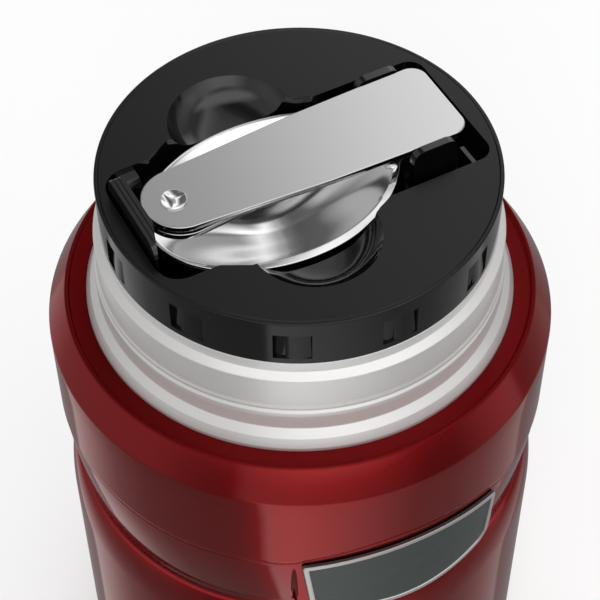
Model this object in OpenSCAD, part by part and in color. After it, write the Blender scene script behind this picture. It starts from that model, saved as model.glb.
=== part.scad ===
// Insulated food jar with a screw stopper that carries a folding spoon.
// Millimetres, +Z up. The origin is the centre of the base; the name plate faces -Y.

/* [Painted shell] */
// Outer diameter of the painted shell
body_d = 94; // [90:0.5:100]
// Sheet thickness of the shell
shell_wall = 0.6; // [0.4:0.1:0.8]
// Outer radius of the rounded bottom edge
base_round = 3.5; // [2.5:0.5:4.5]
// Width of the flat rim that the jar stands on
foot_w = 1.5; // [1:0.25:3]
// Height of the straight lower wall
lower_h = 53; // [40:1:80]
// Height of the rounded shoulder above the lower wall
shoulder_h = 10.3; // [8:0.5:12]
// Depth of the groove above the shoulder
groove_depth = 2; // [1.4:0.1:2.4]
// Height of the waist, from the groove to the crease under the collar
waist_h = 18.4; // [18:0.2:24]
// Step from the collar into the waist
crease_step = 0.2; // [0.1:0.05:0.3]
// Height of the straight collar
collar_h = 19.3; // [14:0.5:26]
// Height of the sloped top edge
chamfer_h = 6.1; // [5:0.1:8]
// How far the sloped top edge comes in
chamfer_w = 3.7; // [3:0.1:4.2]
// Height of the rolled lip above the ring-shaped floor
lip_h = 0.5; // [0.3:0.1:0.8]
// Width of the rolled lip
lip_w = 0.7; // [0.5:0.1:0.9]

/* [Neck and mouth] */
// How far the painted shell stands out from the bore of the mouth
rim_w = 13.4; // [12.6:0.1:14.2]
// How far the outside of the neck stands out from the bore
neck_step = 4.3; // [4:0.1:4.6]
// Height of the neck above the ring-shaped floor
neck_h = 18.9; // [18:0.1:24]
// Height of the lower band of the neck, under the bead
neck_band_h = 8.3; // [7:0.1:9]
// How far the bead stands proud of the neck
bead_proud = 0.7; // [0.4:0.1:1]
// Sheet thickness of the neck and the liner
steel_wall = 0.5; // [0.4:0.1:0.6]

/* [Liner and vacuum space] */
// Width of the vacuum space between the shell and the liner
vacuum_gap = 4.9; // [4:0.1:6]
// Height of the liner's inside bottom above the base
liner_floor = 12; // [11:0.5:20]
// Height of the neck tube of the liner below the ring-shaped floor
liner_tube = 4; // [3:0.5:8]
// Thickness of the reflecting foil
foil_t = 0.2; // [0.1:0.05:0.3]
// Sheet thickness of the vacuum bottom and the base cap
bottom_t = 0.8; // [0.6:0.1:1]
// Height of the vacuum bottom above the base
bottom_lift = 4.4; // [4:0.2:5]
// Radius of the exhaust dimple
dimple_r = 6; // [5:0.5:8]

/* [Name plate] */
// Width of the plate, straight across
plate_w = 39.4; // [30:0.2:44]
// Height of the plate at its middle
plate_h = 18.7; // [12:0.1:20]
// Thickness of the plate
plate_t = 0.5; // [0.4:0.1:0.8]
// Width of the raised border
border_w = 1; // [0.6:0.1:1.6]
// How far the border stands above the plate
border_proud = 0.2; // [0.1:0.05:0.4]
// Thickness of the adhesive pad
tape_t = 0.25; // [0.15:0.05:0.4]

/* [Thread] */
// Rise of the thread in one turn
lead = 7; // [6:0.5:8]
// Turns of the thread
thread_turns = 1.25; // [1:0.25:1.5]
// Number of thread lugs in one turn
lugs_per_turn = 4; // [3:1:4]
// Angle that one thread lug covers
lug_span = 70; // [40:1:75]
// Height of the thread ridge off its wall
ridge_h = 1.2; // [0.8:0.1:1.3]
// Width of the thread ridge at its crest
ridge_w = 1.2; // [1:0.1:1.4]
// Gap between the two threads when the stopper is tight
thread_gap = 0.25; // [0.2:0.05:0.4]

/* [Stopper] */
// How far the stopper stands out over the bore of the mouth
stopper_lap = 1.9; // [1.8:0.1:2.2]
// Angle of the spoon across the jar when the stopper is tight
stopper_az = 3.4; // [0:0.1:360]
// Depth of the stopper plug below the stopper's top
plug_depth = 36; // [30:1:44]
// Gap between the plug and the bore of the mouth
plug_gap = 1.6; // [1.5:0.1:1.8]
// Wall of the plug
plug_wall = 1.5; // [1.2:0.1:2]
// Thickness of the stopper's top plate
top_t = 2; // [1.5:0.1:2.5]
// Wall of the spoon recess
recess_wall = 1.4; // [1:0.1:1.6]
// Floor thickness of the spoon recess
recess_floor = 1.2; // [1:0.1:1.6]
// Depth of the spoon recess
recess_depth = 8; // [7.5:0.1:8.5]
// Width of the stopper's top past each end of the spoon recess
recess_rim = 3.75; // [3.5:0.05:4.5]
// Radius of the finger scoops
scoop_r = 11.5; // [9:0.5:12]
// Depth of the finger scoops
scoop_depth = 10; // [9.5:0.5:12]
// Bevel of the stopper's top edge
top_bevel = 0.5; // [0.3:0.1:1]
// Number of grip windows around the skirt
grip_count = 12; // [6:1:16]
// Width of one grip window
grip_w = 6.5; // [4:0.1:8]
// Height of one grip window
grip_h = 6.3; // [4:0.1:6.4]
// Depth of one grip window
grip_depth = 1.1; // [0.6:0.1:1.2]
// Thickness of the gasket's flange
gasket_t = 1.2; // [1:0.1:1.6]
// Length of the gasket's lip in the mouth
gasket_lip = 3.5; // [2.5:0.1:4.5]

/* [Spoon] */
// Thickness of the spoon's three plates
plate_steel = 1.2; // [1:0.1:1.4]
// Height of the gap between two plates
plate_gap = 0.6; // [0.5:0.1:0.8]
// Height of the handle's underside above the stopper's top
handle_lift = 2.2; // [2:0.1:3]
// Radius of the rivet shanks
rivet_r = 1.5; // [1.2:0.1:1.8]
// Radius of the rivet heads
rivet_head_r = 2.25; // [2.1:0.05:2.6]
// Length of the handle past the rivet at its rounded end
handle_tip = 5.5; // [4.5:0.1:5.5]
// Length of the handle past the rivet at its square end
handle_heel = 5.1; // [4.5:0.1:5.5]
// Half width of the handle at its square end
handle_half = 9.1; // [8:0.1:9.2]
// Half width of the handle at its rounded end
tip_half = 6.9; // [6:0.1:7]
// Half width of the link at its narrow end
link_half = 5; // [4:0.1:5.5]
// How far the bowl's tip stays behind the handle's rounded end
bowl_behind = 0.4; // [0:0.1:2]
// Distance from the rivet at the bowl's neck to the edge of the bowl
bowl_inset = 5.5; // [5:0.1:6]
// Width of the spoon's bowl
bowl_w = 33.4; // [30:0.2:34]
// Depth of the spoon's bowl
bowl_depth = 9.5; // [7:0.1:10.5]
// How far the rim dips from the bowl's neck to its sides
rim_dip = 3.2; // [2.8:0.1:3.4]
// Thickness of the bowl's wall
bowl_wall = 0.9; // [0.7:0.1:1.1]

/* [Spoon seat] */
// Width of the gap between the folded handle and its snaps
snap_gap = 0.25; // [0.2:0.05:0.35]
// Height of the snaps above the handle
snap_over = 0.5; // [0.45:0.05:0.7]
// Thickness of the snap arm at the handle's rounded end
arm_t = 1.95; // [1.6:0.05:2]
// Width of the slot behind the snap arm
arm_slot = 0.5; // [0.4:0.1:0.8]
// Length of the snap arm
arm_len = 22; // [18:0.5:23]
// Thickness of the two side tabs
tab_t = 1.4; // [1.2:0.1:1.6]
// Length of the two side tabs
tab_len = 8.7; // [6:0.1:9]
// Free room in the recess beside the side tabs
side_room = 3.05; // [2.5:0.05:3.1]
// Free room in the recess past the handle's square end
heel_room = 2.4; // [1.6:0.1:2.5]
// Free room around the bowl in its pocket
bowl_room = 1; // [0.7:0.1:1.1]
// Free room under the bowl
bowl_under = 0.4; // [0.3:0.1:0.8]

/* [Hidden] */
$fn = 96;

// Tiny overlaps and running clearances
weld = 0.1;
run = 0.05;

// Radii of the shell, from the outside in
body_r = body_d / 2;
crease_r = body_r - crease_step;
groove_r = body_r - groove_depth;
lip_r = body_r - chamfer_w;
wall_r = body_r - shell_wall;

// Radii of the neck
mouth_r = body_r - rim_w;
tube_r = mouth_r + steel_wall;
neck_r = mouth_r + neck_step;
skirt_r = neck_r + 1.9;

// Heights of the shell's edges, from the base up
groove_z = lower_h + shoulder_h;
crease_z = groove_z + waist_h;
collar_z = crease_z + collar_h;
lip_z = collar_z + chamfer_h;
floor_z = lip_z - lip_h;
crest_z = floor_z + neck_h;

// Heights of the stopper; its top is the datum for everything on it
seat_depth = recess_depth + recess_floor;
crest_depth = seat_depth + gasket_t + 2 * run;
stop_z = crest_z + crest_depth;
skirt_depth = crest_depth - 0.3;

// Radii of the stopper
disc_r = mouth_r + stopper_lap;
plug_r = mouth_r - plug_gap;
cavity_r = plug_r - plug_wall - 0.3;
skirt_lip = 0.6;

// Heights of the spoon's plates above the stopper's top
link_lift = handle_lift - plate_gap - plate_steel;
neck_lift = link_lift - plate_gap - plate_steel;
rim_lift = neck_lift + plate_steel / 2 - rim_dip;
pocket_depth = bowl_depth - rim_lift + bowl_under;
snap_top = handle_lift + plate_steel + snap_over;

// Ends of the spoon recess, in the stopper's frame, and of the spoon that it holds
recess_mid = -0.25;
recess_x0 = recess_mid - disc_r + recess_rim;
recess_x1 = recess_mid + disc_r - recess_rim;
arm_x0 = recess_x0 + arm_slot;
arm_x1 = arm_x0 + arm_t;
handle_x0 = arm_x1 + snap_gap;
handle_x1 = recess_x1 - heel_room;
tip_x = handle_x0 + handle_tip;
heel_x = handle_x1 - handle_heel;
rivet_span = heel_x - tip_x;
bowl_a = (heel_x - bowl_inset - handle_x0 - bowl_behind) / 2;
bowl_b = bowl_w / 2;
bowl_x = heel_x - bowl_inset - bowl_a;

// Sides of the spoon recess
tab_y = handle_half + snap_gap;
recess_y = tab_y + tab_t + side_room;
scoop_y = bowl_b - 1.3;

// ---------- helpers ----------

function arc(c, r, a0, a1, n) =
    [for (i = [0:n]) c + r * [cos(a0 + (a1 - a0) * i / n), sin(a0 + (a1 - a0) * i / n)]];
function ellipse(cx, a, b, n) = [for (i = [0:n - 1]) [cx + a * cos(360 * i / n), b * sin(360 * i / n)]];
function reversed(p) = [for (i = [len(p) - 1:-1:0]) p[i]];
function mirrored_y(p) = [for (q = p) [q[0], -q[1]]];
function both_sides(p) = concat(p, reversed(mirrored_y(p)));
function side(a, b) = [a[1] - b[1], b[0] - a[0]] / norm(b - a);

// A path moved sideways by t, with mitred corners
function beside(p, t) = [for (i = [0:len(p) - 1])
    let (n = len(p) - 1,
         u = side(p[max(i - 1, 0)], p[max(i, 1)]),
         v = side(p[min(i, n - 1)], p[min(i + 1, n)]))
    p[i] + t * (u + v) / (1 + u * v)];

// Sheet metal of thickness t, spun about the jar's axis, on the right-hand side of the path
module spun_sheet(path, t) {
    rotate_extrude() polygon(concat(path, reversed(beside(path, -t))));
}

// A ring between two radii
module ring(r0, r1, z0, z1) {
    translate([0, 0, z0]) difference() {
        cylinder(r = r1, h = z1 - z0);
        translate([0, 0, -1]) cylinder(r = r0, h = z1 - z0 + 2);
    }
}

// An interrupted thread that rises from z = 0 with the angle, as a row of sloped lugs
// between the root radius r0 and the crest radius r1
module thread_lugs(r0, r1) {
    slope = atan(lead / (2 * PI * r1));
    for (i = [0:round(thread_turns * lugs_per_turn) - 1])
        translate([0, 0, (i + 0.5) * lead / lugs_per_turn]) rotate([0, 0, (i + 0.5) * 360 / lugs_per_turn])
            rotate([slope, 0, 0]) rotate([0, 0, -lug_span / 2]) rotate_extrude(angle = lug_span)
                polygon([[r0, -ridge_root / 2], [r1, -ridge_w / 2], [r1, ridge_w / 2], [r0, ridge_root / 2]]);
}

// Turns and lifts a piece from the stopper's frame to the jar's
module on_stopper() {
    translate([0, 0, stop_z]) rotate([0, 0, stopper_az]) children();
}

// ---------- painted shell ----------

lip_foot_r = lip_r + chamfer_w * lip_h / chamfer_h;
waist_drop = groove_depth - crease_step - 0.1;
waist_run = waist_h - 2.7;
waist_path = [for (i = [0:6]) [crease_r - waist_drop * pow(i / 6, 1.45), crease_z - waist_run * i / 6]];
shoulder_path = [for (i = [0:7]) [groove_r + groove_depth * sin(90 * i / 7), lower_h + shoulder_h * cos(90 * i / 7)]];
foot_r = body_r - base_round - foot_w;
seat_r = body_r - 0.15;
arch_rise = 4.3;
arch_w = 43.4;
shell_path = concat(
    [[skirt_r, floor_z], [lip_foot_r, floor_z], [body_r, collar_z], [body_r, crease_z]],
    [for (p = waist_path) p - [0, crease_step]], shoulder_path,
    arc([body_r - base_round, base_round], base_round, 0, -90, 7), [[foot_r, 0]]);

// The crease under the collar rises in a low arch over the name plate
module crease_arch() {
    outline = concat([[arch_w / 2, crease_z - 1], [-arch_w / 2, crease_z - 1]],
        [for (i = [-8:8]) [arch_w / 2 * i / 8, crease_z + arch_rise * (1 - pow(i / 8, 2))]]);
    intersection() {
        ring(seat_r, body_r + 1, crease_z - 1, crease_z + arch_rise + 1);
        rotate([90, 0, 0]) linear_extrude(height = body_r + 5) polygon(outline);
    }
}

// Deep-drawn steel can, sprayed with clear red lacquer, with a raised seat for the name plate
module outer_shell() {
    color("#8f2f36") union() {
        difference() {
            spun_sheet(shell_path, shell_wall);
            crease_arch();
        }
        rotate_extrude() polygon([[lip_foot_r - lip_w - 0.3, floor_z - weld], [lip_r - lip_w + 0.2, lip_z - 0.1],
            [lip_r - 0.25, lip_z], [lip_r, lip_z - weld], [lip_foot_r - 0.1, floor_z - weld]]);
        plate_block(groove_r - shell_wall / 2, seat_r, 0.8);
    }
}

// ---------- bare steel neck and liner ----------

crest_w = 1.8;
crest_drop = 3;
bead_h = 2.3;
foot_bead_h = 4.2;
foot_step = skirt_r - neck_r;
neck_band = [neck_r + 0.14, floor_z + neck_band_h];
neck_path = [[tube_r, crest_z], [mouth_r + crest_w, crest_z], [neck_r - crest_drop / 2, crest_z - 0.7],
    [neck_r - 0.4, crest_z - 0.77 * crest_drop], [neck_r, crest_z - crest_drop],
    [neck_r, neck_band[1] + bead_h], [neck_r + bead_proud - 0.1, neck_band[1] + 0.83 * bead_h],
    [neck_r + bead_proud, neck_band[1] + 0.48 * bead_h], [neck_r + bead_proud - 0.1, neck_band[1] + 0.09 * bead_h],
    neck_band, [neck_band[0], floor_z + foot_bead_h], [neck_r + 0.42 * foot_step, floor_z + 0.76 * foot_bead_h],
    [neck_r + 0.47 * foot_step, floor_z + 0.33 * foot_bead_h],
    [neck_r + 0.79 * foot_step, floor_z + 0.19 * foot_bead_h], [skirt_r, floor_z], [skirt_r, floor_z - 2]];

// Rolled steel neck, satin finished, welded to the liner at the crest and to the shell at the ring floor
module neck_ring() {
    color("#c9cbcd") spun_sheet(neck_path, steel_wall);
}

liner_r = wall_r - vacuum_gap - steel_wall;
tube_z = floor_z - liner_tube;
flare_h = liner_r - mouth_r;
liner_round = 8;
liner_path = concat([[mouth_r, crest_z], [mouth_r, tube_z], [liner_r, tube_z - flare_h]],
    arc([liner_r - liner_round, liner_floor + liner_round], liner_round, 0, -90, 6), [[0, liner_floor]]);
ridge_root = ridge_w + 0.8;
ridge_sink = 0.3;
thread_az = 50;
female_z = crest_z - 9;
male_z = female_z - ridge_root - thread_gap;

// Deep-drawn liner that holds the food, with the thread rolled into its mouth
module inner_liner() {
    color("#d5d7d8") union() {
        rotate_extrude() polygon(concat(liner_path, reversed(beside(liner_path, steel_wall))));
        translate([0, 0, female_z - lead * thread_turns]) rotate([0, 0, thread_az])
            thread_lugs(mouth_r + ridge_sink, mouth_r - ridge_h);
    }
}

// Copper foil wrapped around the straight part of the liner
module liner_foil() {
    foil_r = liner_r + steel_wall;
    color("#b87a4b") ring(foil_r, foil_r + foil_t, liner_floor + liner_round, tube_z - flare_h - 3);
}

// ---------- bottom ----------

dimple_h = 2;
dimple_slope = 1.2;
hole_r = 1;
bottom_flange = 5;
bottom_z = bottom_lift;
bottom_path = [[hole_r, bottom_z + dimple_h + bottom_t], [dimple_r, bottom_z + dimple_h + bottom_t],
    [dimple_r + dimple_slope, bottom_z + bottom_t], [wall_r - bottom_t, bottom_z + bottom_t],
    [wall_r - bottom_t, bottom_z + bottom_flange]];

// Pressed bottom that closes the vacuum space, with the exhaust hole in its dimple
module vacuum_bottom() {
    color("#b9bcbe") spun_sheet(bottom_path, bottom_t);
}

pellet_t = 1.2;

// Solder-glass pellet that seals the exhaust hole
module exhaust_seal() {
    color("#5d6b63") union() {
        translate([0, 0, bottom_z + dimple_h - pellet_t]) cylinder(r = dimple_r - 1.6, h = pellet_t);
        translate([0, 0, bottom_z + dimple_h - weld]) cylinder(r = hole_r, h = bottom_t + weld);
    }
}

getter_x = (dimple_r + foot_r) / 2;
getter_r = 4;
getter_t = 1.5;
clip_t = 0.6;
clip_h = 1.8;
clip_rim = 0.8;
clip_tab = 4;
getter_seat = bottom_z + bottom_t + clip_t;

// Spot-welded clip that carries the getter
module getter_holder() {
    color("#a9acae") translate([getter_x, 0, bottom_z + bottom_t]) difference() {
        union() {
            cylinder(r = getter_r + clip_rim, h = clip_h);
            translate([-getter_r - clip_tab, -clip_tab / 2, 0]) cube([2 * (getter_r + clip_tab), clip_tab, clip_t]);
        }
        translate([0, 0, clip_t]) cylinder(r = getter_r, h = clip_h);
    }
}

// Getter pill that keeps the vacuum
module getter() {
    color("#6f7072") translate([getter_x, 0, getter_seat]) cylinder(r = getter_r, h = getter_t);
}

cap_r = body_r - base_round - 0.3;
cap_land = 1.6;
cap_rise = 0.9;

// Steel cap over the seal, held by the turned-in edge of the shell
module base_cap() {
    cap_z = shell_wall + bottom_t;
    color("#a7aaad") spun_sheet([[0, cap_z + cap_rise], [foot_r - cap_land - cap_rise, cap_z + cap_rise],
        [foot_r - cap_land, cap_z], [cap_r, cap_z]], bottom_t);
}

// ---------- name plate, left bare ----------

plate_over = 2;
plate_z = crease_z + plate_over - plate_h / 2;
tape_r = seat_r + tape_t;
face_r = tape_r + plate_t;
top_bow = 2.2;
foot_bow = 3.2;
corner_in = 1.2;
corner_h = 2;

// Outline of the plate, seen from the front, grown by g
function plate_outline(g) = let (w = plate_w / 2, h = plate_h / 2, kx = (w + g) / w, kz = (h + g) / h,
    top = [for (i = [-6:6]) [w * i / 6, h - top_bow * pow(i / 6, 2)]],
    low_w = w - corner_in - 0.9 * corner_h,
    low = [for (i = [6:-1:-6]) [low_w * i / 6, -h + foot_bow * pow(i / 6, 2)]],
    right = [[w - corner_in, -h + foot_bow + corner_h]],
    left = [[-w + corner_in, -h + foot_bow + corner_h]])
    [for (p = concat(top, right, low, left)) [p[0] * kx, p[1] * kz]];

// Part of a ring between two radii, cut to the plate's outline
module plate_block(r0, r1, g) {
    intersection() {
        ring(r0, r1, plate_z - plate_h, plate_z + plate_h);
        translate([0, 0, plate_z]) rotate([90, 0, 0]) linear_extrude(height = body_r + 5) polygon(plate_outline(g));
    }
}

module plate_tape() {
    color("#3a3a3a") plate_block(seat_r, tape_r, -0.4);
}

module name_plate() {
    color("#3e4443") plate_block(tape_r, face_r, 0);
}

module plate_border() {
    color("#c8c6c4") difference() {
        plate_block(face_r, face_r + border_proud, 0);
        plate_block(face_r - 1, face_r + border_proud + 1, -border_w);
    }
}

// ---------- stopper ----------

// Rounded rectangle of the recess, grown by g
function recess_box(g) = let (rl = 4.5 + g, rr = 3 + g, x0 = recess_x0 - g, x1 = recess_x1 + g, y = recess_y + g)
    both_sides(concat(arc([x1 - rr, y - rr], rr, 0, 90, 4), arc([x0 + rl, y - rl], rl, 90, 180, 5)));

waist_out = 2.6;
waist_mid = bowl_x - 0.7;
waist_slope = [4.1, 4.9];

// Wider stretch of the recess beside the bowl, grown by g
function recess_waist(g) = both_sides([[waist_mid + scoop_r + waist_slope[0] + g, recess_y],
    [waist_mid + scoop_r + g / 2, recess_y + waist_out + g], [waist_mid - scoop_r - g / 2, recess_y + waist_out + g],
    [waist_mid - scoop_r - waist_slope[1] - g, recess_y]]);

// One finger scoop, grown by g, from its floor up to z1
module scoop(g, z1) {
    r = scoop_r + g;
    floor_round = 4;
    rotate_extrude() polygon(concat([[0, z1], [0, -scoop_depth - g]],
        arc([r - floor_round, floor_round - scoop_depth - g], floor_round, -90, 0, 5), [[r, z1]]));
}

// The whole recess, grown by g, up to z1
module recess(g, g_floor, z1) {
    translate([0, 0, -recess_depth - g_floor]) linear_extrude(height = recess_depth + g_floor + z1) {
        polygon(recess_box(g));
        polygon(recess_waist(g));
    }
    translate([0, 0, -pocket_depth - g]) linear_extrude(height = pocket_depth + g + z1)
        polygon(ellipse(bowl_x, bowl_a + bowl_room + g, bowl_b + bowl_room + g, 48));
    for (y = [-scoop_y, scoop_y]) translate([bowl_x, y, 0]) scoop(g, z1);
}

module cap_blank() {
    lip = disc_r - skirt_lip;
    rotate_extrude() polygon([[0, -top_t], [cavity_r, -top_t], [cavity_r, -seat_depth], [lip, -seat_depth],
        [lip, -skirt_depth], [disc_r, -skirt_depth], [disc_r, -top_bevel], [disc_r - top_bevel, 0], [0, 0]]);
    intersection() {
        recess(recess_wall, recess_floor, -top_t / 2);
        translate([0, 0, -plug_depth]) cylinder(r = cavity_r + weld, h = plug_depth);
    }
}

// Shallow windows with sloped floors that give the fingers a grip
module grip_windows() {
    grip_top = seat_depth - grip_h;
    for (i = [0:grip_count - 1]) rotate([0, 0, 360 * i / grip_count])
        translate([disc_r - grip_depth, -grip_w / 2, -seat_depth]) rotate([0, 5, 0])
            cube([grip_depth * 3, grip_w, seat_depth - grip_top + 0.3]);
}

arm_mid = 1;
hook_out = 0.8;

// Springy wall that clips over the handle's rounded end
module snap_arm() {
    y0 = arm_mid - arm_len / 2;
    y1 = arm_mid + arm_len / 2;
    translate([0, 0, -recess_depth - weld]) linear_extrude(height = recess_depth + weld + snap_top)
        polygon([[arm_x0, y0 + 1], [arm_x0 + 0.6, y0], [arm_x1, y0], [arm_x1, y1], [arm_x0 + 1.4, y1],
            [arm_x0, y1 - 3]]);
    translate([0, 0, snap_top - snap_over + 0.15]) linear_extrude(height = snap_over - 0.15)
        polygon([[arm_x1 - weld, y0 + 1.5], [arm_x1 + hook_out - 0.2, y0 + 0.32 * arm_len],
            [arm_x1 + hook_out, y0 + 0.5 * arm_len], [arm_x1 + hook_out, y1 - 0.27 * arm_len],
            [arm_x1 - weld, y1 - 1]]);
}

// Upright tab beside the handle's square end, with rounded top corners
module side_tab(s) {
    round_r = 2;
    x0 = heel_x - 7.3;
    x1 = x0 + tab_len;
    foot = -recess_depth - weld;
    translate([0, s > 0 ? tab_y + tab_t : -tab_y, 0]) rotate([90, 0, 0]) linear_extrude(height = tab_t)
        polygon(concat([[x0, foot], [x1, foot]], arc([x1 - round_r, snap_top - round_r], round_r, 0, 90, 4),
            arc([x0 + round_r, snap_top - round_r], round_r, 90, 180, 4)));
}

rib_size = [0.8, 4.4, 5];
rib_in = 2.3;
ledge_size = [3.9, 2.2, 6];

// Small rib and ledge moulded in two corners of the recess
module recess_details() {
    translate([recess_x1 - rib_in - rib_size[0], rib_in - recess_y, -recess_depth - weld]) cube(rib_size);
    translate([recess_x0 + ledge_size[0], recess_y - ledge_size[1], -recess_depth - weld])
        cube(ledge_size + [0, weld, 0]);
}

// Moulded stopper cap with the spoon recess, the finger scoops and the snaps
module stopper_cap() {
    color("#2c2c2c") on_stopper() {
        difference() {
            cap_blank();
            recess(0, 0, 1);
            grip_windows();
        }
        snap_arm();
        side_tab(1);
        side_tab(-1);
        recess_details();
    }
}

plug_end = 2;

// Threaded sleeve of the stopper, welded under the cap
module stopper_plug() {
    color("#353535") union() {
        translate([0, 0, stop_z]) ring(plug_r - plug_wall, plug_r, plug_end - plug_depth, -seat_depth);
        translate([0, 0, male_z - lead * thread_turns]) rotate([0, 0, thread_az])
            thread_lugs(plug_r - ridge_sink, plug_r + ridge_h);
    }
}

// Disc welded into the lower end of the plug
module plug_bottom() {
    color("#303030") translate([0, 0, stop_z - plug_depth]) union() {
        cylinder(r = plug_r, h = plug_end);
        cylinder(r = plug_r - plug_wall - run, h = plug_end + 1.5);
    }
}

// Foam puck that insulates the stopper
module stopper_foam() {
    foam_z = plug_end + 1.5 - plug_depth;
    foam_top = -pocket_depth - recess_wall - 0.4;
    color("#e9e6dc") translate([0, 0, stop_z + foam_z]) cylinder(r = plug_r - plug_wall - 0.3, h = foam_top - foam_z);
}

// Silicone gasket between the cap and the crest of the mouth
module stopper_gasket() {
    r0 = plug_r + run;
    r1 = disc_r - skirt_lip - 0.3;
    z1 = -seat_depth - run;
    color("#8d8f90") translate([0, 0, stop_z]) rotate_extrude() polygon([[r0, z1], [r1, z1], [r1, z1 - gasket_t],
        [mouth_r - 0.4, z1 - gasket_t], [mouth_r - 0.4, z1 - gasket_t - gasket_lip + 0.6],
        [mouth_r - 0.8, z1 - gasket_t - gasket_lip], [r0, z1 - gasket_t - gasket_lip]]);
}

// ---------- folding spoon ----------

// A flat steel plate with a round hole
module holed_plate(outline, z, holes) {
    difference() {
        translate([0, 0, z]) linear_extrude(height = plate_steel) polygon(outline);
        for (h = holes) translate([h[0], 0, z - 1]) cylinder(r = h[1], h = plate_steel + 2);
    }
}

// Points of one face of the bowl, ring by ring from the middle, then the dished height
bowl_rings = 7;
bowl_sides = 40;
function bowl_lift(rho, t, d) = rim_lift - d * (1 - pow(rho, 2.4)) + rim_dip * pow(max(0, cos(t)), 3) * pow(rho, 4);
function bowl_face(a, b, d) = concat([[bowl_x, 0, bowl_lift(0, 0, d)]],
    [for (k = [1:bowl_rings], i = [0:bowl_sides - 1]) let (rho = k / bowl_rings, t = 360 * i / bowl_sides)
        [bowl_x + a * rho * cos(t), b * rho * sin(t), bowl_lift(rho, t, d)]]);
function spot(k, i) = 1 + (k - 1) * bowl_sides + i % bowl_sides;
bowl_fan = [for (i = [0:bowl_sides - 1]) [0, spot(1, i), spot(1, i + 1)]];
bowl_net = [for (k = [1:bowl_rings - 1], i = [0:bowl_sides - 1])
    each [[spot(k, i), spot(k + 1, i), spot(k + 1, i + 1)], [spot(k, i), spot(k + 1, i + 1), spot(k, i + 1)]]];

module bowl_dish() {
    count = 1 + bowl_rings * bowl_sides;
    under = concat(bowl_fan, bowl_net);
    over = [for (f = under) [f[0] + count, f[2] + count, f[1] + count]];
    rim = [for (i = [0:bowl_sides - 1])
        let (a = spot(bowl_rings, i), b = spot(bowl_rings, i + 1))
        each [[a, a + count, b + count], [a, b + count, b]]];
    polyhedron(points = concat(bowl_face(bowl_a, bowl_b, bowl_depth),
        bowl_face(bowl_a - bowl_wall, bowl_b - bowl_wall, bowl_depth - bowl_wall - 0.1)),
        faces = concat(under, over, rim), convexity = 4);
}

neck_half = 5;
neck_flare = 2.5;

// Deep pressed bowl with the short neck that carries the first rivet
module spoon_bowl() {
    edge_x = heel_x - bowl_inset;
    neck_outline = both_sides(concat(arc([heel_x, 0], neck_half, 0, 90, 5), [[edge_x + 0.5, neck_half + 0.2],
        [edge_x - 2, neck_half + 1.7], [edge_x - 4, neck_half + neck_flare],
        [edge_x - 5, neck_half + neck_flare - 0.5]]));
    color("#c4c6c8") on_stopper() union() {
        bowl_dish();
        difference() {
            holed_plate(neck_outline, neck_lift, [[heel_x, rivet_r]]);
            translate([0, 0, neck_lift - 1]) linear_extrude(height = 5)
                polygon(ellipse(bowl_x, bowl_a - bowl_wall, bowl_b - bowl_wall, bowl_sides));
        }
    }
}

// A rivet with two heads, through two plates that start at z0
module rivet(x, z0) {
    head_t = 0.5;
    z1 = z0 + 2 * plate_steel + plate_gap;
    on_stopper() translate([x, 0, 0]) union() {
        translate([0, 0, z0 - head_t]) cylinder(r = rivet_head_r, h = head_t);
        translate([0, 0, z0 - weld]) cylinder(r = rivet_r, h = z1 - z0 + weld + run);
        translate([0, 0, z1 + run]) cylinder(r = rivet_head_r, h = head_t);
    }
}

// A washer around a rivet, lying on the plate whose top is at z0
module washer(x, z0) {
    on_stopper() translate([x, 0, 0]) ring(rivet_r + run, rivet_head_r + 0.75, z0, z0 + plate_gap - run);
}

module link_rivet() { color("#aeb1b3") rivet(heel_x, neck_lift); }
module link_washer() { color("#8f9193") washer(heel_x, neck_lift + plate_steel); }
module handle_rivet() { color("#aeb1b3") rivet(tip_x, link_lift); }
module handle_washer() { color("#8f9193") washer(tip_x, link_lift + plate_steel); }

// Rounded end shared by the link and the handle, from the top side round to the left
function round_tip() = arc([handle_x0 + tip_half, 0], tip_half, 90, 180, 7);

// Middle plate of the folded spoon
module spoon_link() {
    outline = both_sides(concat(arc([heel_x, 0], link_half, 0, 90, 6),
        [[tip_x + 0.29 * rivet_span, link_half + 1]], round_tip()));
    color("#bfc1c3") on_stopper() holed_plate(outline, link_lift, [[heel_x, rivet_r + run], [tip_x, rivet_r]]);
}

// Top plate of the folded spoon, the part that is held in the hand
module spoon_handle() {
    corner_r = 3;
    outline = both_sides(concat(arc([handle_x1 - corner_r, handle_half - corner_r], corner_r, 0, 90, 4),
        [[heel_x - 0.15 * rivet_span, handle_half - 0.1], [heel_x - 0.46 * rivet_span, handle_half - 0.5]],
        round_tip()));
    color("#c6c8ca") on_stopper() holed_plate(outline, handle_lift, [[tip_x, rivet_r + run]]);
}

// ---------- nodes ----------

outer_shell();
neck_ring();
inner_liner();
liner_foil();
vacuum_bottom();
exhaust_seal();
getter_holder();
getter();
base_cap();
plate_tape();
name_plate();
plate_border();
stopper_cap();
stopper_plug();
stopper_foam();
plug_bottom();
stopper_gasket();
spoon_bowl();
link_rivet();
link_washer();
spoon_link();
handle_rivet();
handle_washer();
spoon_handle();
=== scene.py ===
# Insulated food jar with a screw stopper and a folding spoon: pieces, finishes, studio and camera.
# Sizes are in millimetres until a mesh is made. +Z is up and the name plate faces -Y.

import math

import bmesh
import bpy
import numpy as np
from mathutils import Matrix, Vector


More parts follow.
